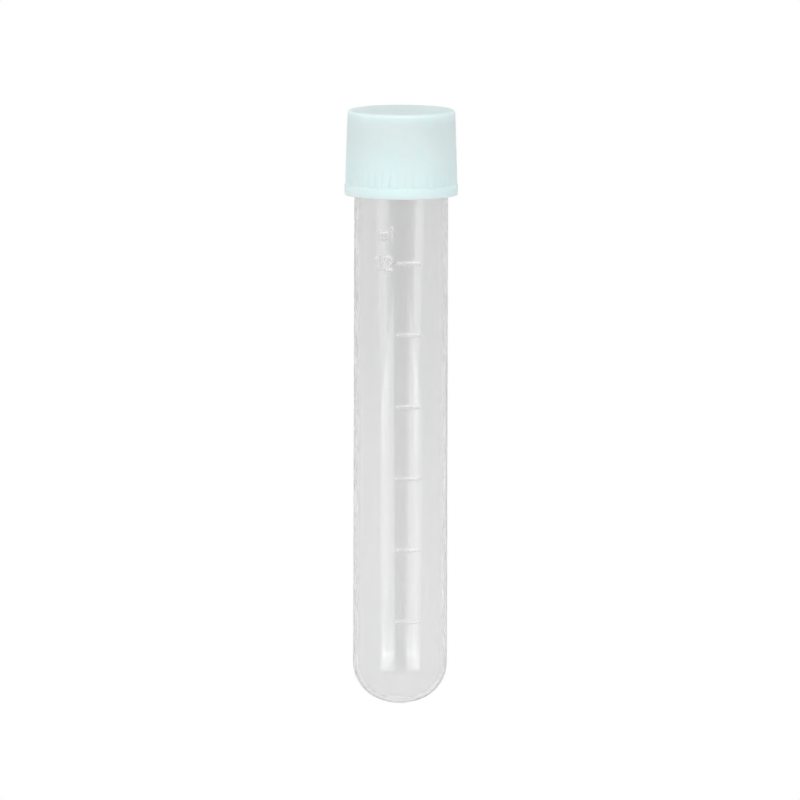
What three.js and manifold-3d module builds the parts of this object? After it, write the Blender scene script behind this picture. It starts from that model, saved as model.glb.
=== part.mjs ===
// Graduated 12 ml test tube, nominal 16 x 100 mm, with its screw cap.
//
// Three pieces: a round-bottomed tube of translucent polypropylene with a threaded neck and a
// raised scale, a ribbed polyethylene screw cap, and the foam liner that seals cap to rim.
//
// Millimetres. The axis of the tube is +Z and the origin is the lowest point of its round
// bottom. The scale faces -Y. Angles are in degrees, counted anticlockwise from the front (-Y)
// as seen from above, so a positive angle lies towards +X.
import * as THREE from "three";
import { mergeVertices, toCreasedNormals } from "three/addons/utils/BufferGeometryUtils.js";
import Module from "manifold-3d";

// ---- Tube ----
const TUBE_LENGTH = 100;
const TUBE_RADIUS = 8;
const WALL = 0.8;
const BORE_RADIUS = TUBE_RADIUS - WALL;
const CROWN_RADIUS = 9.7; // the round bottom is slightly flattened: a wide crown at its foot
const KNUCKLE_RADIUS = 6.8; // and a tighter bend from the crown up to the barrel
const SHOULDER_HEIGHT = 88.3; // where the barrel steps in to the neck
const NECK_RADIUS = 7.8;
const RIM_FILLET = 0.2;

// ---- Scale ----
const MARKED_VOLUMES = [2, 4, 6, 8, 10, 12]; // millilitres
const SCALE_ZERO = 2.45; // the height that the marks are counted from
const RELIEF = 0.18; // how far bars and figures stand out of the wall
const BAR_FROM = -6;
const BAR_TO = 25;
const BAR_BASE = 0.75;
const BAR_TIP = 0.45;
const BAR_RUN_OUT = 2;
const PEN_WIDTH = 0.36;
const FIGURE_HEIGHT = 2.55;
const FIGURE_WIDTH = 1.4;
const FIGURE_ADVANCE = 1.8;
const UNITS_FIGURE_ANGLE = -16; // the "2" of the "12" beside the top bar
const STEM_ASIDE = 0.1; // how far right of its middle the "1" has its stem
const FLAG_REACH = 0.52;
const FLAG_DROP = 0.62;
const FLAG_JOIN_DROP = 0.15;
const LETTER_HEIGHT = 1.35;
const ASCENDER_HEIGHT = 2;
const ARCH_WIDTH = 0.62;
const UNIT_NAME_RISE = 4.1; // from the top bar up to the line that the "ml" stands on
const UNIT_NAME_END_ANGLE = -11.5;

// ---- Screw thread, right-handed, one start ----
const PITCH = 3;
const THREAD_BASE = 1.2;
const THREAD_TIP = 0.5;
const THREAD_RUN_OUT = 45;
const TUBE_THREAD_CREST = 8.35;
const TUBE_THREAD_START = 91.6; // height of the ridge's centre line where it starts
const TUBE_THREAD_TURNS = 1.75;
const CAP_THREAD_CREST = 7.98;
const CAP_THREAD_DROP = 0.95; // the cap's ridge hooks under the tube's ridge, this far below it
const CAP_THREAD_TURNS = 1.5;

// ---- Liner ----
const LINER_RADIUS = 8.3;
const LINER_THICKNESS = 0.6;
const LINER_CHAMFER = 0.1;
const SEAT_GAP = 0.05; // clearance above and below the liner

// ---- Cap ----
const CAP_HEIGHT = 14.45;
const TOP_PLATE = 1;
const CAP_TOP_RADIUS = 9.19;
const CAP_SKIRT_RADIUS = 9.565; // at the foot of the tapered skirt
const CAP_BORE_RADIUS = 8.5;
const CAP_MOUTH_RADIUS = 8.9;
const MOUTH_CHAMFER = 0.5;
const TOP_FILLET = 0.5;
const COLLAR_RADIUS = 9.685;
const COLLAR_HEIGHT = 1.7;
const COLLAR_FILLET = 0.15;
const COLLAR_STEP_RISE = 0.08;
const GROOVE_COUNT = 44;
const GROOVE_WIDTH = 0.62;
const GROOVE_FLOOR_RADIUS = 9.385; // the floor is upright, so each groove fades out up the taper
const GROOVE_HEIGHT = 6.5;
const BEAD_RADIUS = 8.2; // snap ring that keeps the liner in the cap
const BEAD_WIDTH = 0.75;

// ---- Fineness ----
const TUBE_SEGMENTS = 48;
const CAP_SEGMENTS = 2 * GROOVE_COUNT;
const CAVITY_SEGMENTS = 48;
const CROWN_STEPS = 3;
const KNUCKLE_STEPS = 7;
const FILLET_STEPS = 3;
const BOWL_STEPS = 8;
const SWEEP_STEP = 10; // degrees
const BURIED = 0.3; // how deep a joined ridge or figure reaches into its wall
const CUT_CLEARANCE = 1; // how far a cutting solid reaches out of what it cuts
const WELD_DISTANCE = 1e-4;
const CREASE_ANGLE = 35;

const CAP_TOP = TUBE_LENGTH + SEAT_GAP + LINER_THICKNESS + SEAT_GAP + TOP_PLATE;
const CAP_FOOT = CAP_TOP - CAP_HEIGHT;
const LINER_FOOT = TUBE_LENGTH + SEAT_GAP;
const FRONT = -90;

// The height at which the knuckle meets the barrel.
const BOTTOM_HEIGHT =
  CROWN_RADIUS - Math.sqrt((CROWN_RADIUS - KNUCKLE_RADIUS) ** 2 -
    (TUBE_RADIUS - KNUCKLE_RADIUS) ** 2);

const wasm = await Module();
wasm.setup();

// ---- Solids ----

// A closed three.js geometry as a solid that can be joined and cut.
function solidOf(geometry) {
  const bare = geometry.clone();
  bare.deleteAttribute("normal");
  bare.deleteAttribute("uv");
  const welded = mergeVertices(bare, WELD_DISTANCE);
  return new wasm.Manifold(
    new wasm.Mesh({
      numProp: 3,
      vertProperties: new Float32Array(welded.attributes.position.array),
      triVerts: new Uint32Array(welded.index.array),
    }),
  );
}

function geometryOf(solid) {
  const { vertProperties, triVerts } = solid.getMesh();
  const geometry = new THREE.BufferGeometry();
  geometry.setAttribute("position", new THREE.BufferAttribute(vertProperties, 3));
  geometry.setIndex(new THREE.BufferAttribute(triVerts, 1));
  return toCreasedNormals(geometry, radians(CREASE_ANGLE));
}

function joined(solids) {
  return solids.reduce((whole, solid) => whole.add(solid));
}

function radians(degrees) {
  return THREE.MathUtils.degToRad(degrees);
}

function point(x, y) {
  return new THREE.Vector2(x, y);
}

// Points along a quarter or other stretch of an ellipse, between two angles in degrees.
function arc(centre, radiusX, radiusY, from, to, steps) {
  const clockwise = to < from;
  const curve = new THREE.EllipseCurve(
    centre.x, centre.y, radiusX, radiusY, radians(from), radians(to), clockwise,
  );
  return curve.getPoints(steps);
}

// A profile of (radius, height) points turned round the Z axis.
function turned(profile, segments) {
  return solidOf(new THREE.LatheGeometry(profile, segments).rotateX(Math.PI / 2));
}

// Moves each vertex to the cylindrical place (radius, angle, height) that place() gives for it.
function wrapped(geometry, place) {
  const position = geometry.attributes.position;
  for (let i = 0; i < position.count; i += 1) {
    const { radius, angle, height } = place(position.getX(i), position.getY(i), position.getZ(i));
    const turn = radians(FRONT + angle);
    position.setXYZ(i, radius * Math.cos(turn), radius * Math.sin(turn), height);
  }
  return solidOf(geometry);
}

// A ridge of trapezoid section that runs round the axis, climbing by pitch in each turn. It
// stands on a wall of radius root, and its crest sinks into that wall at both ends.
function ridge({ root, crest, base, tip, from, to, height, runOut, pitch = 0 }) {
  const outward = Math.sign(crest - root);
  const buried = root - outward * BURIED;
  const section = new THREE.Shape([
    point(-base / 2, buried),
    point(-base / 2, root),
    point(-tip / 2, crest),
    point(tip / 2, crest),
    point(base / 2, root),
    point(base / 2, buried),
  ]);
  const straight = new THREE.ExtrudeGeometry(section, {
    depth: to - from,
    steps: Math.ceil((to - from) / SWEEP_STEP),
    bevelEnabled: false,
  });
  const sunk = 0.2; // a crest starts this share of its height below the wall
  return wrapped(straight, (across, radius, along) => {
    const fromEnd = Math.min(along, to - from - along);
    const rise = Math.min(1, (fromEnd / runOut) * (1 + sunk) - sunk);
    const onCrest = (radius - root) * outward > 0;
    return {
      radius: onCrest ? root + (radius - root) * rise : radius,
      angle: from + along,
      height: height + across + (pitch * along) / 360,
    };
  });
}

// ---- Figures ----

// The outline of a pen stroke of even width along a line of points.
function penStroke(points) {
  const side = (offset) =>
    points.map((here, i) => {
      const before = points[Math.max(i - 1, 0)];
      const after = points[Math.min(i + 1, points.length - 1)];
      const along = after.clone().sub(before).normalize();
      return point(here.x - along.y * offset, here.y + along.x * offset);
    });
  return new THREE.Shape([...side(PEN_WIDTH / 2), ...side(-PEN_WIDTH / 2).reverse()]);
}

// Pen strokes raised on the tube's wall, their x running round the tube and their y up it.
function raised(strokes, angle, height) {
  return joined(
    strokes.map((points) => {
      const flat = new THREE.ExtrudeGeometry(penStroke(points), {
        depth: BURIED + RELIEF,
        bevelEnabled: false,
      });
      return wrapped(flat, (x, y, z) => ({
        radius: TUBE_RADIUS - BURIED + z,
        angle: angle + THREE.MathUtils.radToDeg(x / TUBE_RADIUS),
        height: height + y,
      }));
    }),
  );
}

function figureOne() {
  const stem = [point(STEM_ASIDE, 0), point(STEM_ASIDE, FIGURE_HEIGHT)];
  const flag = [
    point(STEM_ASIDE - FLAG_REACH, FIGURE_HEIGHT - FLAG_DROP),
    point(STEM_ASIDE, FIGURE_HEIGHT - FLAG_JOIN_DROP),
  ];
  return [stem, flag];
}

function figureTwo() {
  const edge = (FIGURE_WIDTH - PEN_WIDTH) / 2;
  const footHeight = PEN_WIDTH / 2;
  const bowlCentre = point(0, FIGURE_HEIGHT - edge - PEN_WIDTH / 2);
  const bowl = arc(bowlCentre, edge, edge, 170, -35, BOWL_STEPS);
  const foot = [point(-FIGURE_WIDTH / 2, footHeight), point(FIGURE_WIDTH / 2, footHeight)];
  return [[...bowl, point(-edge, footHeight)], foot];
}

function letterM() {
  const arch = (left) => {
    const centre = point(left + ARCH_WIDTH / 2, LETTER_HEIGHT - ARCH_WIDTH / 2 - PEN_WIDTH / 2);
    const bend = arc(centre, ARCH_WIDTH / 2, ARCH_WIDTH / 2, 180, 0, BOWL_STEPS / 2);
    return [...bend, point(left + ARCH_WIDTH, 0)];
  };
  const stem = [point(-ARCH_WIDTH, 0), point(-ARCH_WIDTH, LETTER_HEIGHT)];
  return [stem, arch(-ARCH_WIDTH), arch(0)];
}

function letterL() {
  return [[point(0, 0), point(0, ASCENDER_HEIGHT)]];
}

// ---- Pieces ----

// The height of the mark for a volume.
function levelOf(millilitres) {
  const boreArea = Math.PI * BORE_RADIUS ** 2;
  return SCALE_ZERO + (millilitres * 1000) / boreArea;
}

// The round bottom, from its lowest point up to the barrel, this far inside the outer surface.
function bottomProfile(inset) {
  const crownCentre = point(0, CROWN_RADIUS);
  const knuckleCentre = point(TUBE_RADIUS - KNUCKLE_RADIUS, BOTTOM_HEIGHT);
  const toKnuckle = knuckleCentre.clone().sub(crownCentre);
  const meeting = THREE.MathUtils.radToDeg(Math.atan2(toKnuckle.y, toKnuckle.x));
  const crown = CROWN_RADIUS - inset;
  const knuckle = KNUCKLE_RADIUS - inset;
  return [
    ...arc(crownCentre, crown, crown, -90, meeting, CROWN_STEPS).slice(0, -1),
    ...arc(knuckleCentre, knuckle, knuckle, meeting, 0, KNUCKLE_STEPS),
  ];
}

function tubeWall() {
  const rimHeight = TUBE_LENGTH - RIM_FILLET;
  const rimCentres = [point(NECK_RADIUS - RIM_FILLET, rimHeight),
    point(BORE_RADIUS + RIM_FILLET, rimHeight)];
  const profile = [
    ...bottomProfile(0),
    point(TUBE_RADIUS, SHOULDER_HEIGHT),
    point(NECK_RADIUS, SHOULDER_HEIGHT + TUBE_RADIUS - NECK_RADIUS),
    ...arc(rimCentres[0], RIM_FILLET, RIM_FILLET, 0, 90, FILLET_STEPS),
    ...arc(rimCentres[1], RIM_FILLET, RIM_FILLET, 90, 180, FILLET_STEPS),
    ...bottomProfile(WALL).reverse(),
  ];
  return turned(profile, TUBE_SEGMENTS);
}

function scaleBar(millilitres) {
  return ridge({
    root: TUBE_RADIUS,
    crest: TUBE_RADIUS + RELIEF,
    base: BAR_BASE,
    tip: BAR_TIP,
    from: BAR_FROM,
    to: BAR_TO,
    height: levelOf(millilitres),
    runOut: BAR_RUN_OUT,
  });
}

// The number and unit beside the top bar.
function scaleFigures() {
  const topLevel = levelOf(Math.max(...MARKED_VOLUMES));
  const numberFoot = topLevel - FIGURE_HEIGHT / 2;
  const nameFoot = topLevel + UNIT_NAME_RISE;
  const advance = THREE.MathUtils.radToDeg(FIGURE_ADVANCE / TUBE_RADIUS);
  const letterAdvance = THREE.MathUtils.radToDeg((ARCH_WIDTH + 2 * PEN_WIDTH) / TUBE_RADIUS);
  return joined([
    raised(figureOne(), UNITS_FIGURE_ANGLE - advance, numberFoot),
    raised(figureTwo(), UNITS_FIGURE_ANGLE, numberFoot),
    raised(letterM(), UNIT_NAME_END_ANGLE - letterAdvance, nameFoot),
    raised(letterL(), UNIT_NAME_END_ANGLE, nameFoot),
  ]);
}

function tube() {
  const thread = ridge({
    root: NECK_RADIUS,
    crest: TUBE_THREAD_CREST,
    base: THREAD_BASE,
    tip: THREAD_TIP,
    from: 0,
    to: TUBE_THREAD_TURNS * 360,
    height: TUBE_THREAD_START,
    runOut: THREAD_RUN_OUT,
    pitch: PITCH,
  });
  return joined([tubeWall(), thread, ...MARKED_VOLUMES.map(scaleBar), scaleFigures()]);
}

function capShell() {
  const skirtFoot = CAP_FOOT + COLLAR_HEIGHT + COLLAR_STEP_RISE;
  const collarCentre = point(COLLAR_RADIUS - COLLAR_FILLET, CAP_FOOT + COLLAR_FILLET);
  const topCentre = point(CAP_TOP_RADIUS - TOP_FILLET, CAP_TOP - TOP_FILLET);
  const profile = [
    point(0, CAP_FOOT),
    ...arc(collarCentre, COLLAR_FILLET, COLLAR_FILLET, -90, 0, FILLET_STEPS),
    point(COLLAR_RADIUS, CAP_FOOT + COLLAR_HEIGHT),
    point(CAP_SKIRT_RADIUS, skirtFoot),
    ...arc(topCentre, TOP_FILLET, TOP_FILLET, 0, 90, FILLET_STEPS),
    point(0, CAP_TOP),
  ];
  return turned(profile, CAP_SEGMENTS);
}

// The space inside the cap, with the snap ring that keeps the liner standing into it.
function capCavity() {
  const belowFoot = CAP_FOOT - CUT_CLEARANCE;
  const beadTop = LINER_FOOT - 2 * SEAT_GAP;
  const beadRise = CAP_BORE_RADIUS - BEAD_RADIUS;
  const profile = [
    point(0, belowFoot),
    point(CAP_MOUTH_RADIUS, belowFoot),
    point(CAP_MOUTH_RADIUS, CAP_FOOT),
    point(CAP_BORE_RADIUS, CAP_FOOT + MOUTH_CHAMFER),
    point(CAP_BORE_RADIUS, beadTop - BEAD_WIDTH),
    point(BEAD_RADIUS, beadTop - BEAD_WIDTH + beadRise),
    point(BEAD_RADIUS, beadTop - beadRise),
    point(CAP_BORE_RADIUS, beadTop),
    point(CAP_BORE_RADIUS, CAP_TOP - TOP_PLATE),
    point(0, CAP_TOP - TOP_PLATE),
  ];
  return turned(profile, CAVITY_SEGMENTS);
}

function gripGroove(index) {
  const foot = CAP_FOOT + COLLAR_HEIGHT + COLLAR_STEP_RISE;
  const cutter = new THREE.BoxGeometry(CUT_CLEARANCE, GROOVE_WIDTH, GROOVE_HEIGHT);
  cutter.translate(GROOVE_FLOOR_RADIUS + CUT_CLEARANCE / 2, 0, foot + GROOVE_HEIGHT / 2);
  cutter.rotateZ(radians((360 / GROOVE_COUNT) * (index + 0.5)));
  return solidOf(cutter);
}

function screwCap() {
  const thread = ridge({
    root: CAP_BORE_RADIUS,
    crest: CAP_THREAD_CREST,
    base: THREAD_BASE,
    tip: THREAD_TIP,
    from: 0,
    to: CAP_THREAD_TURNS * 360,
    height: TUBE_THREAD_START - CAP_THREAD_DROP,
    runOut: THREAD_RUN_OUT,
    pitch: PITCH,
  });
  const grooves = Array.from({ length: GROOVE_COUNT }, (_, index) => gripGroove(index));
  return capShell().subtract(capCavity()).subtract(joined(grooves)).add(thread);
}

function sealingLiner() {
  const top = LINER_FOOT + LINER_THICKNESS;
  const profile = [
    point(0, LINER_FOOT),
    point(LINER_RADIUS - LINER_CHAMFER, LINER_FOOT),
    point(LINER_RADIUS, LINER_FOOT + LINER_CHAMFER),
    point(LINER_RADIUS, top - LINER_CHAMFER),
    point(LINER_RADIUS - LINER_CHAMFER, top),
    point(0, top),
  ];
  return turned(profile, CAVITY_SEGMENTS);
}

// ---- Assembly ----

function piece(name, solid, look) {
  const mesh = new THREE.Mesh(geometryOf(solid), new THREE.MeshStandardMaterial(look));
  mesh.name = name;
  return mesh;
}

const testTube = new THREE.Group();
testTube.name = "test_tube";
testTube.add(
  piece("tube", tube(), {
    color: 0xdbdedf,
    roughness: 0.32,
    metalness: 0,
    transparent: true,
    opacity: 0.55,
  }),
  piece("screw_cap", screwCap(), {
    color: 0xdcedf0,
    roughness: 0.38,
    metalness: 0,
    transparent: true,
    opacity: 0.8,
  }),
  piece("sealing_liner", sealingLiner(), {
    color: 0xf4f4ef,
    roughness: 0.8,
    metalness: 0,
  }),
);

export default testTube;
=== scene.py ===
"""Graduated 12 ml test tube with its screw cap, upright on a plain pale floor.

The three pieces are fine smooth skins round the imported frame's bodies: a tube of translucent
polypropylene, a ribbed cap of translucent polyethylene and the foam liner inside the cap.

Shapes are worked out in millimetres, with the tube's axis on Z and the scale facing -Y, and
become metres when a mesh is made. Angles are in degrees, counted anticlockwise from the front
(-Y) as seen from above. A profile is a list of (radius, height) points.
"""
import math

import bpy
import numpy as np
from mathutils import Euler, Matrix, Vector


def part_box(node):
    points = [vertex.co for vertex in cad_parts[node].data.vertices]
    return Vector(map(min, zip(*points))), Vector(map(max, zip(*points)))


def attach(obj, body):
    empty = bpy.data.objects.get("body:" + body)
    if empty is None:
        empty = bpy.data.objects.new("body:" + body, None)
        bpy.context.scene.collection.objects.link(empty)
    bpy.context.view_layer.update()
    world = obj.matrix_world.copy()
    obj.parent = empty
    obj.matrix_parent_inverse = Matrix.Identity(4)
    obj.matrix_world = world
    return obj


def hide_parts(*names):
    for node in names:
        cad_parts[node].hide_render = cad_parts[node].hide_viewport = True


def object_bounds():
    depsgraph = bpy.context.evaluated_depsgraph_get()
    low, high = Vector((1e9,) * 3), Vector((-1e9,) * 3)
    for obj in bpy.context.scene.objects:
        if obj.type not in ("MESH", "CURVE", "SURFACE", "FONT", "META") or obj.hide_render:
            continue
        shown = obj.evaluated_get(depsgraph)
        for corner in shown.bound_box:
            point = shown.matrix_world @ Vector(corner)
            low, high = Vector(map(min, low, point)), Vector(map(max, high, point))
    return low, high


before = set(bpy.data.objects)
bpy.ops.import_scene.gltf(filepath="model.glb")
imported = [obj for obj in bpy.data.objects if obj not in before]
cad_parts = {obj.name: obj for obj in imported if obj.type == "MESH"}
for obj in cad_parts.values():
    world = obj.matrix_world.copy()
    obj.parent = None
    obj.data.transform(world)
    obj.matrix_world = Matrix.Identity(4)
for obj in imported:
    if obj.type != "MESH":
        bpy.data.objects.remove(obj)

CAD_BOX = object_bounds()
MM = 0.001


def box_mm(node):
    """The lowest and highest corners of a CAD node, in millimetres."""
    low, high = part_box(node)
    return low / MM, high / MM


# ---- Sizes from the frame ----
TUBE_TOP = box_mm("tube")[1].z
CAP_FOOT = box_mm("screw_cap")[0].z
CAP_TOP = box_mm("screw_cap")[1].z
COLLAR_RADIUS = box_mm("screw_cap")[1].x
LINER_FOOT = box_mm("sealing_liner")[0].z
LINER_TOP = box_mm("sealing_liner")[1].z
LINER_RADIUS = box_mm("sealing_liner")[1].x

# ---- Tube ----
TUBE_RADIUS = 8.0
WALL = 0.8
BORE_RADIUS = TUBE_RADIUS - WALL
CROWN_RADIUS = 9.7
KNUCKLE_RADIUS = 6.8
BOTTOM_HEIGHT = CROWN_RADIUS - math.sqrt((CROWN_RADIUS - KNUCKLE_RADIUS) ** 2
                                         - (TUBE_RADIUS - KNUCKLE_RADIUS) ** 2)
SHOULDER_HEIGHT = 88.3
SHOULDER_RISE = 0.25  # from the barrel's end to the neck
NECK_RADIUS = 7.8
RIM_FILLET = 0.2
BARREL_STEP = 1.5  # between rings where the wall is plain
MARK_STEP = 0.08  # between rings where marks rise
COLUMN_STEP = 2.0  # degrees between columns where the wall is plain
MARK_COLUMN_STEP = 0.45  # degrees between columns across the marks
MARKED_ANGLES = (-38.0, 28.0)
BORE_STEP = 2.5

# ---- Scale ----
MARKED_VOLUMES = (2, 4, 6, 8, 10, 12)  # millilitres
SCALE_ZERO = 2.45
RELIEF = 0.18
RELIEF_EDGE = 0.4  # the width over which a bar or figure rises out of the wall
BAR_FROM = -5.0
BAR_TO = 24.0
BAR_WIDTH = 0.52
PEN_WIDTH = 0.4
FIGURE_HEIGHT = 2.55
FIGURE_WIDTH = 1.4
FIGURE_ADVANCE = 1.8
UNITS_FIGURE_ANGLE = -16.0
LETTER_HEIGHT = 1.35
ASCENDER_HEIGHT = 2.0
ARCH_WIDTH = 0.62
UNIT_NAME_RISE = 4.1
UNIT_NAME_END_ANGLE = -11.5
BAR_MARGIN = 0.6  # of finely stepped wall above and below a bar
TOP_MARK_MARGIN = 1.6  # the same at the top mark, whose figures are taller
UNIT_NAME_MARGIN = 0.4

# ---- Screw thread ----
PITCH = 3.0
THREAD_BASE = 1.2
THREAD_TIP = 0.5
THREAD_RUN_OUT = 45.0
THREAD_STEP = 0.1  # between rings where a thread rises
TUBE_THREAD_CREST = 8.35
TUBE_THREAD_START = 91.6
TUBE_THREAD_TURNS = 1.75
CAP_THREAD_CREST = 7.98
CAP_THREAD_DROP = 0.95
CAP_THREAD_TURNS = 1.5

# ---- Cap ----
TOP_PLATE = 1.0
CAP_TOP_RADIUS = 9.19
CAP_SKIRT_RADIUS = 9.565
CAP_BORE_RADIUS = 8.5
CAP_MOUTH_RADIUS = 8.9
MOUTH_CHAMFER = 0.5
TOP_FILLET = 0.5
COLLAR_HEIGHT = 1.7
COLLAR_FILLET = 0.15
COLLAR_TOP_FILLET = 0.07
COLLAR_STEP_RISE = 0.08
SKIRT_STEP = 0.45
SKIRT_FOOT_STEP = 0.1  # between rings where the grooves start
SKIRT_FOOT_HEIGHT = 0.7
GROOVE_COUNT = 44
GROOVE_WIDTH = 0.8
GROOVE_FLOOR_RADIUS = 9.43
GROOVE_FOOT_FADE = 0.35
COLUMNS_PER_GROOVE = 14
CEILING_CORNER = 0.05
LIP_STEP = 0.12
BEAD_RADIUS = 8.2
BEAD_WIDTH = 0.75
BEAD_GAP = 0.1  # below the liner

FRONT = -90.0


# ---- Skins of revolution ----

def line(start, stop, step):
    """Points from start towards stop, about step apart, without stop itself."""
    count = max(1, round(math.dist(start, stop) / step))
    (r0, z0), (r1, z1) = start, stop
    return [(r0 + (r1 - r0) * i / count, z0 + (z1 - z0) * i / count) for i in range(count)]


def arc(centre, radii, start, stop, steps):
    """Points along an ellipse, both ends included."""
    turns = np.radians(np.linspace(start, stop, steps + 1))
    across = centre[0] + radii[0] * np.cos(turns)
    up = centre[1] + radii[1] * np.sin(turns)
    return list(zip(across.tolist(), up.tolist()))


def graded(start, stop, coarse, fine, zones):
    """Values from start up to stop, fine steps apart inside the zones and coarse ones outside."""
    values = [start]
    while values[-1] < stop - fine / 2:
        here = values[-1]
        inside = any(low - 1e-9 <= here < high for low, high in zones)
        ahead = min([low for low, high in zones if low > here + 1e-9] + [stop])
        values.append(min(here + (fine if inside else coarse), ahead))
    return values


def revolved(name, stretches, angles):
    """A closed skin turned round the axis, from a pole below round the section to a second pole.

    Each stretch is (profile, relief), and relief(angles, height) is how far the skin stands out
    of the profile at each angle, or None.
    """
    angles = np.asarray(angles)
    turns = np.radians(FRONT + angles)
    rings = []
    for profile, relief in stretches:
        for radius, height in profile:
            offset = relief(angles, height) if relief else 0.0
            rings.append((radius + offset + np.zeros_like(angles), height))
    poles = [rings[0][1], rings[-1][1]]
    rings = rings[1:-1]
    points = [(0.0, 0.0, poles[0])]
    for radii, height in rings:
        ring = np.column_stack([radii * np.cos(turns), radii * np.sin(turns),
                                np.full_like(angles, height)])
        points.extend(map(tuple, ring))
    points.append((0.0, 0.0, poles[1]))
    count = len(angles)
    last = len(points) - 1
    faces = []
    for j in range(count):
        k = (j + 1) % count
        faces.append((0, 1 + k, 1 + j))
        for i in range(len(rings) - 1):
            low = 1 + i * count
            faces.append((low + j, low + k, low + count + k, low + count + j))
        top = 1 + (len(rings) - 1) * count
        faces.append((top + j, top + k, last))
    mesh = bpy.data.meshes.new(name)
    mesh.from_pydata([(x * MM, y * MM, z * MM) for x, y, z in points], [], faces)
    mesh.update()
    mesh.shade_smooth()
    piece = bpy.data.objects.new(name, mesh)
    bpy.context.scene.collection.objects.link(piece)
    return piece


def smooth(share):
    """A smooth rise from 0 to 1 as share goes from 0 to 1."""
    share = np.clip(share, 0.0, 1.0)
    return share * share * (3.0 - 2.0 * share)


def thread_ridge(start, turns, depth):
    """Relief of a helical ridge, of the given depth, that fades into the wall at both ends."""
    def relief(angles, height):
        around = np.mod(angles, 360.0) / 360.0
        turn = np.round((height - start) / PITCH - around)
        off_centre = np.abs(height - start - PITCH * (around + turn))
        along = (around + turn) * 360.0
        from_end = np.minimum(along, turns * 360.0 - along)
        fade = smooth(from_end / THREAD_RUN_OUT)
        rise = (THREAD_BASE / 2 - off_centre) / ((THREAD_BASE - THREAD_TIP) / 2)
        return depth * fade * smooth(rise)
    return relief


# ---- Tube ----

def level_of(millilitres):
    """The height of the mark for a volume."""
    return SCALE_ZERO + millilitres * 1000 / (math.pi * BORE_RADIUS**2)


def figure_one():
    """An upright stem with a short flag near its head."""
    stem = 0.1
    flag_tip = (-0.42, FIGURE_HEIGHT - 0.62)
    flag_root = (stem, FIGURE_HEIGHT - 0.12)
    return [[(stem, 0.0), (stem, FIGURE_HEIGHT)], [flag_tip, flag_root]]


def figure_two():
    """A round bowl that runs down into a flat foot."""
    edge = (FIGURE_WIDTH - PEN_WIDTH) / 2
    foot = PEN_WIDTH / 2
    bowl = arc((0.0, FIGURE_HEIGHT - edge - foot), (edge, edge), 170, -35, 10)
    return [[*bowl, (-edge, foot), (edge, foot)]]


def letter_m():
    """A stem and two arches, each with its own leg."""
    radius = ARCH_WIDTH / 2
    strokes = [[(-ARCH_WIDTH, 0.0), (-ARCH_WIDTH, LETTER_HEIGHT)]]
    for left in (-ARCH_WIDTH, 0.0):
        centre = (left + radius, LETTER_HEIGHT - radius - PEN_WIDTH / 2)
        strokes.append([*arc(centre, (radius, radius), 180, 0, 8), (left + ARCH_WIDTH, 0.0)])
    return strokes


def letter_l():
    return [[(0.0, 0.0), (0.0, ASCENDER_HEIGHT)]]


def arc_length(angle):
    return math.radians(angle) * TUBE_RADIUS


def placed(strokes, angle, height):
    """Pen strokes moved to their place on the unrolled wall."""
    return [[(arc_length(angle) + x, height + y) for x, y in stroke] for stroke in strokes]


def scale_strokes():
    """(points, width) of each bar and pen stroke on the unrolled wall."""
    half = BAR_WIDTH / 2
    bars = []
    for volume in MARKED_VOLUMES:
        ends = (arc_length(BAR_FROM) + half, arc_length(BAR_TO) - half)
        bars.append([(ends[0], level_of(volume)), (ends[1], level_of(volume))])
    top = level_of(MARKED_VOLUMES[-1])
    advance = math.degrees(FIGURE_ADVANCE / TUBE_RADIUS)
    letter_advance = math.degrees((ARCH_WIDTH + 2 * PEN_WIDTH) / TUBE_RADIUS)
    number_foot = top - FIGURE_HEIGHT / 2
    name_foot = top + UNIT_NAME_RISE
    figures = [
        *placed(figure_one(), UNITS_FIGURE_ANGLE - advance, number_foot),
        *placed(figure_two(), UNITS_FIGURE_ANGLE, number_foot),
        *placed(letter_m(), UNIT_NAME_END_ANGLE - letter_advance, name_foot),
        *placed(letter_l(), UNIT_NAME_END_ANGLE, name_foot),
    ]
    return [(bar, BAR_WIDTH) for bar in bars] + [(stroke, PEN_WIDTH) for stroke in figures]


def distance_to(stroke, across, height):
    """Distance on the unrolled wall from (across, height) to the nearest point of a stroke."""
    nearest = np.full_like(across, np.inf)
    for (x0, y0), (x1, y1) in zip(stroke, stroke[1:]):
        run, rise = x1 - x0, y1 - y0
        share = ((across - x0) * run + (height - y0) * rise) / (run * run + rise * rise)
        share = np.clip(share, 0.0, 1.0)
        gap = np.hypot(across - x0 - share * run, height - y0 - share * rise)
        nearest = np.minimum(nearest, gap)
    return nearest


STROKES = scale_strokes()


def scale_relief(angles, height):
    """How far the bars, figures and letters stand out of the barrel."""
    across = np.radians(angles) * TUBE_RADIUS
    raised = np.zeros_like(across)
    for stroke, width in STROKES:
        heights = [y for _, y in stroke]
        if not min(heights) - width < height < max(heights) + width:
            continue
        inside = width / 2 - distance_to(stroke, across, height)
        raised = np.maximum(raised, RELIEF * smooth(0.5 + inside / RELIEF_EDGE))
    return raised


def bottom_profile(inset):
    """The round bottom, from its lowest point up to the barrel."""
    aside = TUBE_RADIUS - KNUCKLE_RADIUS
    meeting = math.degrees(math.atan2(BOTTOM_HEIGHT - CROWN_RADIUS, aside))
    crown = CROWN_RADIUS - inset
    knuckle = KNUCKLE_RADIUS - inset
    return [*arc((0.0, CROWN_RADIUS), (crown, crown), -90, meeting, 16)[:-1],
            *arc((aside, BOTTOM_HEIGHT), (knuckle, knuckle), meeting, 0, 28)]


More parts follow.
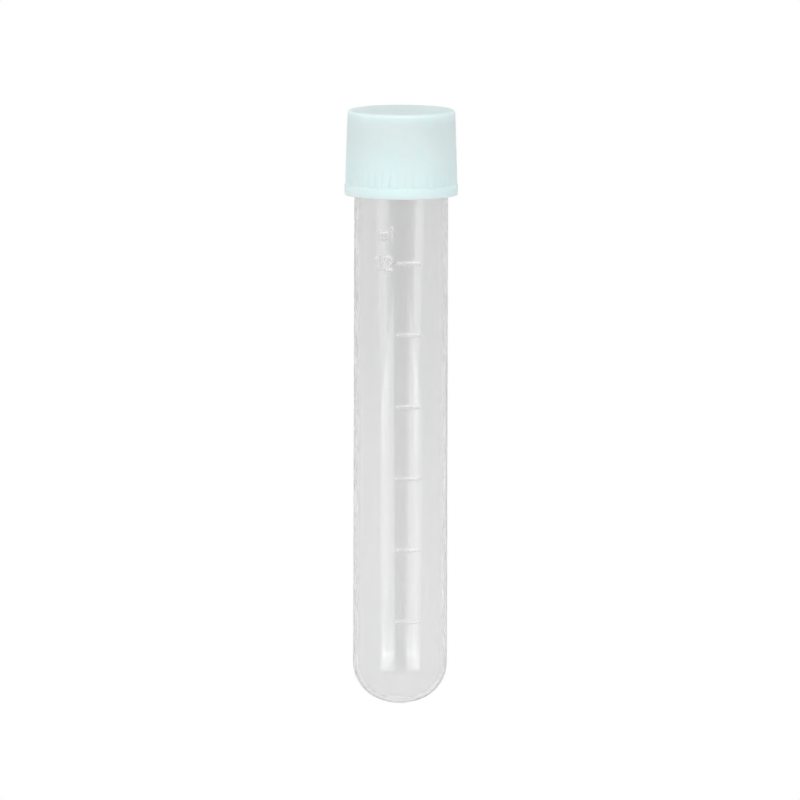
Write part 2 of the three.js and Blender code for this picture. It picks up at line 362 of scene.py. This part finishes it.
def share_marks(tube):
    """Store at each point of the barrel how much of the full relief it has, for the material."""
    marks = tube.data.attributes.new("marks", "FLOAT", "POINT")
    for vertex, mark in zip(tube.data.vertices, marks.data):
        if vertex.co.z < SHOULDER_HEIGHT * MM:
            mark.value = max(0.0, (vertex.co.xy.length / MM - TUBE_RADIUS) / RELIEF)


def make_tube():
    top_mark = level_of(MARKED_VOLUMES[-1])
    zones = [(level_of(volume) - BAR_MARGIN, level_of(volume) + BAR_MARGIN)
             for volume in MARKED_VOLUMES[:-1]]
    zones.append((top_mark - TOP_MARK_MARGIN, top_mark + TOP_MARK_MARGIN))
    name_foot = top_mark + UNIT_NAME_RISE
    zones.append((name_foot - UNIT_NAME_MARGIN,
                  name_foot + ASCENDER_HEIGHT + UNIT_NAME_MARGIN))
    barrel = graded(BOTTOM_HEIGHT, SHOULDER_HEIGHT, BARREL_STEP, MARK_STEP, zones)
    middle = (TUBE_RADIUS + NECK_RADIUS) / 2
    step = (TUBE_RADIUS - NECK_RADIUS) / 2
    shoulder = [(middle + step * math.cos(t), SHOULDER_HEIGHT + SHOULDER_RISE * t / math.pi)
                for t in np.linspace(0.0, math.pi, 7)]
    rim = TUBE_TOP - RIM_FILLET
    fillet = (RIM_FILLET, RIM_FILLET)
    neck_from = shoulder[-1][1] + THREAD_STEP
    thread = thread_ridge(TUBE_THREAD_START, TUBE_THREAD_TURNS, TUBE_THREAD_CREST - NECK_RADIUS)
    stretches = [
        (bottom_profile(0.0)[:-1], None),
        ([(TUBE_RADIUS, height) for height in barrel[:-1]], scale_relief),
        (shoulder, None),
        (line((NECK_RADIUS, neck_from), (NECK_RADIUS, rim), THREAD_STEP), thread),
        (arc((NECK_RADIUS - RIM_FILLET, rim), fillet, 0, 90, 6), None),
        (arc((BORE_RADIUS + RIM_FILLET, rim), fillet, 90, 180, 6), None),
        (line((BORE_RADIUS, rim - 0.3), (BORE_RADIUS, BOTTOM_HEIGHT), BORE_STEP), None),
        (bottom_profile(WALL)[::-1], None),
    ]
    columns = graded(-180.0, 180.0, COLUMN_STEP, MARK_COLUMN_STEP, [MARKED_ANGLES])[:-1]
    tube = revolved("tube_skin", stretches, columns)
    share_marks(tube)
    tube.data.materials.append(polypropylene())
    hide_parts("tube")
    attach(tube, "tube")


# ---- Cap ----

def skirt_radius(height):
    """The radius of the tapered skirt at a height."""
    foot = CAP_FOOT + COLLAR_HEIGHT + COLLAR_STEP_RISE
    share = (height - foot) / (CAP_TOP - TOP_FILLET - foot)
    return CAP_SKIRT_RADIUS + (CAP_TOP_RADIUS - CAP_SKIRT_RADIUS) * share


def groove_relief(angles, height):
    """The upright grip grooves, which fade out as the skirt tapers in to their floor."""
    pitch = 360.0 / GROOVE_COUNT
    off_centre = np.abs(np.mod(angles, pitch) - pitch / 2)
    across = np.radians(off_centre) * CAP_SKIRT_RADIUS
    depth = max(0.0, skirt_radius(height) - GROOVE_FLOOR_RADIUS)
    foot = CAP_FOOT + COLLAR_HEIGHT + COLLAR_STEP_RISE
    depth *= float(smooth((height - foot) / GROOVE_FOOT_FADE))
    return -depth * smooth(1.0 - across / (GROOVE_WIDTH / 2))


def make_cap():
    foot = CAP_FOOT + COLLAR_HEIGHT + COLLAR_STEP_RISE
    top = CAP_TOP - TOP_FILLET
    ceiling = CAP_TOP - TOP_PLATE
    bead_top = LINER_FOOT - BEAD_GAP
    bead_foot = bead_top - BEAD_WIDTH
    bead_turns = np.linspace(0.0, 2.0 * math.pi, 13)
    bead = [(CAP_BORE_RADIUS - (CAP_BORE_RADIUS - BEAD_RADIUS) * (1 - math.cos(t)) / 2,
             bead_foot + BEAD_WIDTH * t / (2.0 * math.pi)) for t in bead_turns]
    lip = (CAP_MOUTH_RADIUS, CAP_FOOT)
    lead_in = (CAP_BORE_RADIUS, CAP_FOOT + MOUTH_CHAMFER)
    collar = (COLLAR_RADIUS - COLLAR_FILLET, CAP_FOOT + COLLAR_FILLET)
    heights = graded(foot, top, SKIRT_STEP, SKIRT_FOOT_STEP, [(foot, foot + SKIRT_FOOT_HEIGHT)])
    skirt = [(skirt_radius(z), z) for z in heights]
    thread = thread_ridge(TUBE_THREAD_START - CAP_THREAD_DROP, CAP_THREAD_TURNS,
                          CAP_THREAD_CREST - CAP_BORE_RADIUS)
    bore_wall = line((CAP_BORE_RADIUS, bead_foot), lead_in, THREAD_STEP)[1:]
    corner_radius = CAP_BORE_RADIUS - CEILING_CORNER
    collar_top = CAP_FOOT + COLLAR_HEIGHT
    collar_edge = (COLLAR_RADIUS - COLLAR_TOP_FILLET, collar_top - COLLAR_TOP_FILLET)
    top_fillet = (CAP_TOP_RADIUS - TOP_FILLET, top)
    stretches = [
        ([(0.0, ceiling)], None),
        (line((1.0, ceiling), (corner_radius, ceiling), 1.0), None),
        ([(corner_radius, ceiling), (CAP_BORE_RADIUS, ceiling - CEILING_CORNER)], None),
        (bead[::-1], None),
        (bore_wall, thread),
        (line(lead_in, lip, LIP_STEP), None),
        (line(lip, (collar[0], CAP_FOOT), LIP_STEP), None),
        (arc(collar, (COLLAR_FILLET, COLLAR_FILLET), -90, 0, 6), None),
        (line((COLLAR_RADIUS, CAP_FOOT + 0.3), (COLLAR_RADIUS, collar_top - 0.1), 0.3), None),
        (arc(collar_edge, (COLLAR_TOP_FILLET, COLLAR_TOP_FILLET), 0, 80, 5), None),
        (skirt[:-1], groove_relief),
        (arc(top_fillet, (TOP_FILLET, TOP_FILLET), 0, 90, 8), None),
        (line((top_fillet[0] - 0.2, CAP_TOP), (0.0, CAP_TOP), 0.8), None),
        ([(0.0, CAP_TOP)], None),
    ]
    columns = np.arange(0.0, 360.0, 360.0 / (GROOVE_COUNT * COLUMNS_PER_GROOVE))
    cap = revolved("cap_skin", stretches, columns)
    cap.data.materials.append(polyethylene())
    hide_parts("screw_cap")
    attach(cap, "cap")


# ---- Liner ----

def make_liner():
    fillet = 0.1
    edge = LINER_RADIUS - fillet
    turn = (fillet, fillet)
    stretches = [
        (line((0.0, LINER_FOOT), (edge, LINER_FOOT), 0.6), None),
        (arc((edge, LINER_FOOT + fillet), turn, -90, 0, 4), None),
        (arc((edge, LINER_TOP - fillet), turn, 0, 90, 4), None),
        (line((edge - 0.1, LINER_TOP), (0.0, LINER_TOP), 0.6), None),
        ([(0.0, LINER_TOP)], None),
    ]
    liner = revolved("liner_skin", stretches, np.arange(0.0, 360.0, 2.5))
    liner.data.materials.append(foam())
    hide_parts("sealing_liner")
    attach(liner, "seal")


# ---- Materials ----

TUBE_CLARITY = 0.96  # the share of light that goes straight through a surface of the tube
TUBE_ROUGHNESS = 0.035
TUBE_ROUGHNESS_SPREAD = 0.012
TUBE_DARK = (0.96, 0.962, 0.965)
TUBE_LIGHT = (0.985, 0.985, 0.985)
TUBE_SCATTER = 1.0
TUBE_IOR = 1.49
TUBE_SCATTER_DEPTH = 0.0012  # metres
TUBE_BUMP = 0.1
FLOW_SCALE = 260.0  # features per metre, as for the other scales
FLOW_STRETCH = (1.0, 1.0, 0.12)
HAZE_SCALE = 900.0
RIPPLE_SCALE = 700.0
RIPPLE_STRETCH = (1.0, 1.0, 0.25)
MARK_CLARITY = 0.88
MARK_ROUGHNESS = 0.12  # added where the marks stand out
SKIN_RELIEF = 0.00002  # metres, the height of the finest texture
CAP_CLARITY = 0.2
CAP_SCATTER = 0.0025  # metres
CAP_DARK = (0.68, 0.93, 0.985)
CAP_LIGHT = (0.715, 0.95, 1.0)
CAP_ROUGHNESS = 0.5
CAP_ROUGHNESS_SPREAD = 0.06
CAP_IOR = 1.51
CAP_BUMP = 0.2
CLOUD_SCALE = 220.0
GRAIN_SCALE = 4200.0
FOAM_DARK = (0.84, 0.84, 0.82)
FOAM_LIGHT = (0.92, 0.92, 0.9)
CELL_SCALE = 3600.0
CELL_RELIEF = 0.00006  # metres
FOAM_SCATTER = 0.0005  # metres


def adder(tree):
    """A function that adds a node to the tree, with its inputs set or linked."""
    def add(kind, inputs=None, **settings):
        node = tree.nodes.new("ShaderNode" + kind)
        for key, value in settings.items():
            setattr(node, key, value)
        for key, value in (inputs or {}).items():
            if isinstance(value, bpy.types.NodeSocket):
                tree.links.new(value, node.inputs[key])
            else:
                node.inputs[key].default_value = value
        return node
    return add


def new_material(name):
    """A material with one Principled shader, and a function that adds nodes to it."""
    material = bpy.data.materials.new(name)
    material.use_nodes = True
    tree = material.node_tree
    return material, tree, tree.nodes["Principled BSDF"], adder(tree)


def noise(add, scale, stretch=(1.0, 1.0, 1.0), detail=3.0):
    """Noise in the piece's own space, scale in features per metre."""
    place = add("TexCoord").outputs["Object"]
    mapped = add("Mapping", {"Vector": place, "Scale": stretch}).outputs["Vector"]
    texture = add("TexNoise", {"Vector": mapped, "Scale": scale, "Detail": detail})
    return texture.outputs["Fac"]


def between(add, share, low, high):
    """share, from 0.3 to 0.7 as noise runs, mapped onto low to high."""
    return add("MapRange", {"Value": share, "From Min": 0.3, "From Max": 0.7,
                            "To Min": low, "To Max": high}).outputs["Result"]


def tinted(add, share, dark, light):
    """A colour between two, by share."""
    ramp = add("ValToRGB", {"Fac": share})
    ramp.color_ramp.elements[0].position = 0.3
    ramp.color_ramp.elements[0].color = (*dark, 1.0)
    ramp.color_ramp.elements[1].position = 0.7
    ramp.color_ramp.elements[1].color = (*light, 1.0)
    return ramp.outputs["Color"]


def polypropylene():
    """Clear natural polypropylene with faint flow lines, slightly frosted where marks rise."""
    material, tree, shader, add = new_material("polypropylene_natural")
    flow = noise(add, FLOW_SCALE, FLOW_STRETCH, 4.0)
    haze = noise(add, HAZE_SCALE, detail=2.0)
    tree.links.new(tinted(add, flow, TUBE_DARK, TUBE_LIGHT), shader.inputs["Base Color"])
    marks = add("Attribute", attribute_name="marks").outputs["Fac"]
    grain = between(add, haze, TUBE_ROUGHNESS - TUBE_ROUGHNESS_SPREAD,
                    TUBE_ROUGHNESS + TUBE_ROUGHNESS_SPREAD)
    rough = add("Math", {0: marks, 1: MARK_ROUGHNESS, 2: grain}, operation="MULTIPLY_ADD")
    tree.links.new(rough.outputs["Value"], shader.inputs["Roughness"])
    clarity = add("MapRange", {"Value": marks, "To Min": TUBE_CLARITY, "To Max": MARK_CLARITY})
    tree.links.new(clarity.outputs["Result"], shader.inputs["Transmission Weight"])
    ripple = noise(add, RIPPLE_SCALE, RIPPLE_STRETCH, 3.0)
    bump = add("Bump", {"Height": ripple, "Strength": TUBE_BUMP, "Distance": SKIN_RELIEF})
    tree.links.new(bump.outputs["Normal"], shader.inputs["Normal"])
    shader.inputs["IOR"].default_value = TUBE_IOR
    shader.inputs["Subsurface Weight"].default_value = TUBE_SCATTER
    shader.inputs["Subsurface Radius"].default_value = (1.0, 1.0, 1.0)
    shader.inputs["Subsurface Scale"].default_value = TUBE_SCATTER_DEPTH
    return material


def polyethylene():
    """Icy translucent polyethylene with a satin moulded skin."""
    material, tree, shader, add = new_material("polyethylene_icy")
    cloud = noise(add, CLOUD_SCALE, detail=3.0)
    grain = noise(add, GRAIN_SCALE, detail=2.0)
    tree.links.new(tinted(add, cloud, CAP_DARK, CAP_LIGHT), shader.inputs["Base Color"])
    tree.links.new(between(add, grain, CAP_ROUGHNESS - CAP_ROUGHNESS_SPREAD,
                           CAP_ROUGHNESS + CAP_ROUGHNESS_SPREAD), shader.inputs["Roughness"])
    bump = add("Bump", {"Height": grain, "Strength": CAP_BUMP, "Distance": SKIN_RELIEF})
    tree.links.new(bump.outputs["Normal"], shader.inputs["Normal"])
    shader.inputs["IOR"].default_value = CAP_IOR
    shader.inputs["Transmission Weight"].default_value = CAP_CLARITY
    shader.inputs["Subsurface Weight"].default_value = 1.0
    shader.inputs["Subsurface Radius"].default_value = (0.8, 1.0, 1.0)
    shader.inputs["Subsurface Scale"].default_value = CAP_SCATTER
    return material


def foam():
    """White closed-cell foam."""
    material, tree, shader, add = new_material("polyethylene_foam")
    place = add("TexCoord").outputs["Object"]
    cells = add("TexVoronoi", {"Vector": place, "Scale": CELL_SCALE}).outputs["Distance"]
    tree.links.new(tinted(add, cells, FOAM_DARK, FOAM_LIGHT), shader.inputs["Base Color"])
    bump = add("Bump", {"Height": cells, "Strength": 0.5, "Distance": CELL_RELIEF})
    tree.links.new(bump.outputs["Normal"], shader.inputs["Normal"])
    shader.inputs["Roughness"].default_value = 0.75
    shader.inputs["Subsurface Weight"].default_value = 0.3
    shader.inputs["Subsurface Scale"].default_value = FOAM_SCATTER
    return material


# ---- Studio ----

ROOM_LIGHT = 0.75  # brightness of the room round the object, to everything but the camera
SKY_LIGHT = 0.75  # brightness straight above
GROUND_LIGHT = 0.62  # brightness straight below, to everything but reflections
GROUND_SHEEN = 1.0  # brightness straight below in reflections
FRONT_LIGHT = 0.0  # brightness at the front in reflections
FRONT_EDGES = (0.75, 1.0)  # cosines of the angles from the front where that starts and is full
GROUND_EDGES = (0.45, 0.95)  # sines of the angles below level, likewise for the ground
FLOOR_SIZE = 8.0
FLOOR_GAP = 0.0002
SOFTBOX_DISTANCE = 0.15
SOFTBOXES = (  # angle, height, width, length, lean, brightness
    (-50.0, 0.06, 0.036, 0.075, 52.0, 0.55),
    (-32.5, 0.013, 0.1, 0.065, 14.0, 0.62),
    (-29.5, -0.026, 0.1, 0.038, 0.0, 0.8),
    (43.5, 0.06, 0.036, 0.075, -52.0, 0.5),
    (35.5, 0.013, 0.09, 0.065, -14.0, 0.6),
    (32.5, -0.026, 0.09, 0.038, 0.0, 0.8),
)
TOP_LIGHT_RISE = 62.0
TOP_LIGHT_AIM = (0.0, 0.0, 0.05)
TOP_LIGHT_DISTANCE = 0.5
TOP_LIGHT_SIZE = (1.4, 0.32)
TOP_LIGHT_BRIGHTNESS = 0.7
BACKDROP_DISTANCE = 0.35
BACKDROP_SIZE = 1.6
BACKDROP_HIGH = (0.05, 0.715)  # the height where it stops darkening, and its brightness there
BACKDROP_LOW = (-0.02, 0.815)  # the height where it starts, likewise
FILL_DISTANCE = 1.0
FILL_SIZE = 0.9
FILLS = ((-40.0, 22.0, 1.45), (40.0, 22.0, 1.15), (180.0, 30.0, 0.9))  # angle, rise, brightness
LIGHT_POWER = 4.0  # watts of an area light for each square metre and unit of radiance


def new_tree(data):
    """Clear the nodes of a material or world, and return a function that adds nodes to it."""
    data.use_nodes = True
    data.node_tree.nodes.clear()
    return adder(data.node_tree)


def plane(name, width, height):
    """A flat stage panel in the XZ plane, facing -Y, centred on its own origin."""
    x, z = width / 2, height / 2
    mesh = bpy.data.meshes.new(name)
    mesh.from_pydata([(-x, 0, -z), (x, 0, -z), (x, 0, z), (-x, 0, z)], [], [(0, 1, 2, 3)])
    panel = bpy.data.objects.new(name, mesh)
    bpy.context.scene.collection.objects.link(panel)
    return panel


def make_floor():
    """A plain floor, white to the camera. The room's own light stands for what it sends up."""
    floor = plane("floor", FLOOR_SIZE, FLOOR_SIZE)
    floor.rotation_euler = (math.radians(90.0), 0.0, 0.0)
    floor.location.z = CAD_BOX[0].z - FLOOR_GAP
    material = bpy.data.materials.new("white_floor")
    add = new_tree(material)
    glow = add("Emission", {"Strength": 1.0})
    add("OutputMaterial", {"Surface": glow.outputs["Emission"]})
    floor.data.materials.append(material)
    floor.visible_diffuse = False
    floor.visible_glossy = False
    floor.visible_transmission = False
    floor.visible_shadow = False


def make_room():
    """A pale room, white to the camera, whose front is dark and ground bright in reflections."""
    world = bpy.data.worlds.new("room")
    add = new_tree(world)
    way = add("SeparateXYZ", {"Vector": add("TexCoord").outputs["Generated"]}).outputs
    path = add("LightPath").outputs
    mirrored = add("Math", {0: path["Glossy Depth"], 1: 0.5}, operation="GREATER_THAN")
    front = add("MapRange", {"Value": way["Y"], "From Min": -FRONT_EDGES[0],
                             "From Max": -FRONT_EDGES[1], "To Min": 0.0, "To Max": 1.0},
                interpolation_type="SMOOTHSTEP").outputs["Result"]
    front = add("Math", {0: front, 1: mirrored.outputs["Value"]}, operation="MULTIPLY")
    around = add("Mix", {"Factor": front.outputs["Value"], "A": ROOM_LIGHT,
                         "B": FRONT_LIGHT}).outputs["Result"]
    above = add("MapRange", {"Value": way["Z"], "From Min": 0.0, "From Max": 1.0,
                             "To Min": around, "To Max": SKY_LIGHT}).outputs["Result"]
    ground = add("Mix", {"Factor": mirrored.outputs["Value"], "A": GROUND_LIGHT,
                         "B": GROUND_SHEEN}).outputs["Result"]
    room = add("MapRange", {"Value": way["Z"], "From Min": -GROUND_EDGES[0],
                            "From Max": -GROUND_EDGES[1], "To Min": above,
                            "To Max": ground}).outputs["Result"]
    level = add("Mix", {"Factor": path["Is Camera Ray"], "A": room, "B": 1.0}).outputs["Result"]
    glow = add("Background", {"Color": (1.0, 1.0, 1.0, 1.0), "Strength": level})
    add("OutputWorld", {"Surface": glow.outputs["Background"]})
    bpy.context.scene.world = world


def area_light(name, place, width, height, brightness):
    """A rectangular light that the camera doesn't see."""
    data = bpy.data.lights.new(name, "AREA")
    data.shape = "RECTANGLE"
    data.size = width
    data.size_y = height
    data.energy = LIGHT_POWER * brightness * width * height
    light = bpy.data.objects.new(name, data)
    light.location = place
    light.rotation_mode = "QUATERNION"
    light.visible_camera = False
    bpy.context.scene.collection.objects.link(light)
    return light


def make_fills():
    """Broad soft lights that light the solid surfaces evenly and leave no reflection."""
    for angle, rise, brightness in FILLS:
        turn, up = math.radians(FRONT + angle), math.radians(rise)
        away = Vector((math.cos(turn) * math.cos(up), math.sin(turn) * math.cos(up),
                       math.sin(up)))
        fill = area_light("fill", FILL_DISTANCE * away, FILL_SIZE, FILL_SIZE, brightness)
        fill.rotation_quaternion = (-away).to_track_quat("-Z", "Y")
        fill.visible_glossy = False
        fill.visible_transmission = False


def make_backdrop():
    """A pale backdrop, a little darker higher up, that shows only through the plastic."""
    backdrop = plane("backdrop", BACKDROP_SIZE, BACKDROP_SIZE)
    backdrop.location.y = BACKDROP_DISTANCE
    material = bpy.data.materials.new("pale_backdrop")
    add = new_tree(material)
    height = add("SeparateXYZ", {"Vector": add("TexCoord").outputs["Object"]}).outputs["Z"]
    level = add("MapRange", {"Value": height,
                             "From Min": BACKDROP_LOW[0], "To Min": BACKDROP_LOW[1],
                             "From Max": BACKDROP_HIGH[0], "To Max": BACKDROP_HIGH[1]},
                interpolation_type="SMOOTHSTEP").outputs["Result"]
    glow = add("Emission", {"Strength": level})
    add("OutputMaterial", {"Surface": glow.outputs["Emission"]})
    backdrop.data.materials.append(material)
    backdrop.visible_camera = False
    backdrop.visible_diffuse = False
    backdrop.visible_glossy = False
    backdrop.visible_shadow = False


def make_top_light():
    """A broad light above the front, seen only in gloss, which picks out the raised marks."""
    up = math.radians(TOP_LIGHT_RISE)
    away = Vector((0.0, -math.cos(up), math.sin(up)))
    place = Vector(TOP_LIGHT_AIM) + TOP_LIGHT_DISTANCE * away
    light = area_light("top_light", place, *TOP_LIGHT_SIZE, TOP_LIGHT_BRIGHTNESS)
    light.rotation_quaternion = (-away).to_track_quat("-Z", "Y")
    light.visible_diffuse = False
    light.visible_transmission = False


def make_softboxes():
    """Softboxes on both sides of the front, upright but for their lean."""
    for angle, level, width, length, lean, brightness in SOFTBOXES:
        turn = math.radians(FRONT + angle)
        place = (SOFTBOX_DISTANCE * math.cos(turn), SOFTBOX_DISTANCE * math.sin(turn), level)
        box = area_light("softbox", place, width, length, brightness)
        upright = Euler((math.radians(90.0), 0.0, math.radians(angle))).to_quaternion()
        leaning = Euler((0.0, 0.0, math.radians(lean))).to_quaternion()
        box.rotation_quaternion = upright @ leaning


CAMERA_ELEVATION = 6.3
CAMERA_ROLL = 0.156
CAMERA_DISTANCE = 6.0
SENSOR_WIDTH = 36.0  # millimetres
AIM_SHARE = 0.5108  # of the object's height
AIM_ASIDE = -0.00012
VIEW_SHARE = 1.342  # the picture's width over the object's height


def make_camera():
    """A long lens at the front, a little above the level of the tube."""
    low, high = CAD_BOX
    height = high.z - low.z
    aim = Vector((AIM_ASIDE, 0.0, low.z + AIM_SHARE * height))
    tilt = math.radians(CAMERA_ELEVATION)
    data = bpy.data.cameras.new("camera")
    data.sensor_width = SENSOR_WIDTH
    data.lens = data.sensor_width * CAMERA_DISTANCE / (VIEW_SHARE * height)
    data.clip_start = 0.05
    data.clip_end = 40.0
    camera = bpy.data.objects.new("camera", data)
    camera.location = aim + CAMERA_DISTANCE * Vector((0.0, -math.cos(tilt), math.sin(tilt)))
    back = (camera.location - aim).normalized()
    facing = (-back).to_track_quat("-Z", "Y")
    camera.rotation_mode = "QUATERNION"
    roll = Euler((0.0, 0.0, math.radians(CAMERA_ROLL))).to_quaternion()
    camera.rotation_quaternion = facing @ roll
    bpy.context.scene.collection.objects.link(camera)
    bpy.context.scene.camera = camera


make_tube()
make_cap()
make_liner()
make_floor()
make_room()
make_backdrop()
make_softboxes()
make_top_light()
make_fills()
make_camera()
bpy.context.scene.view_settings.view_transform = "Standard"
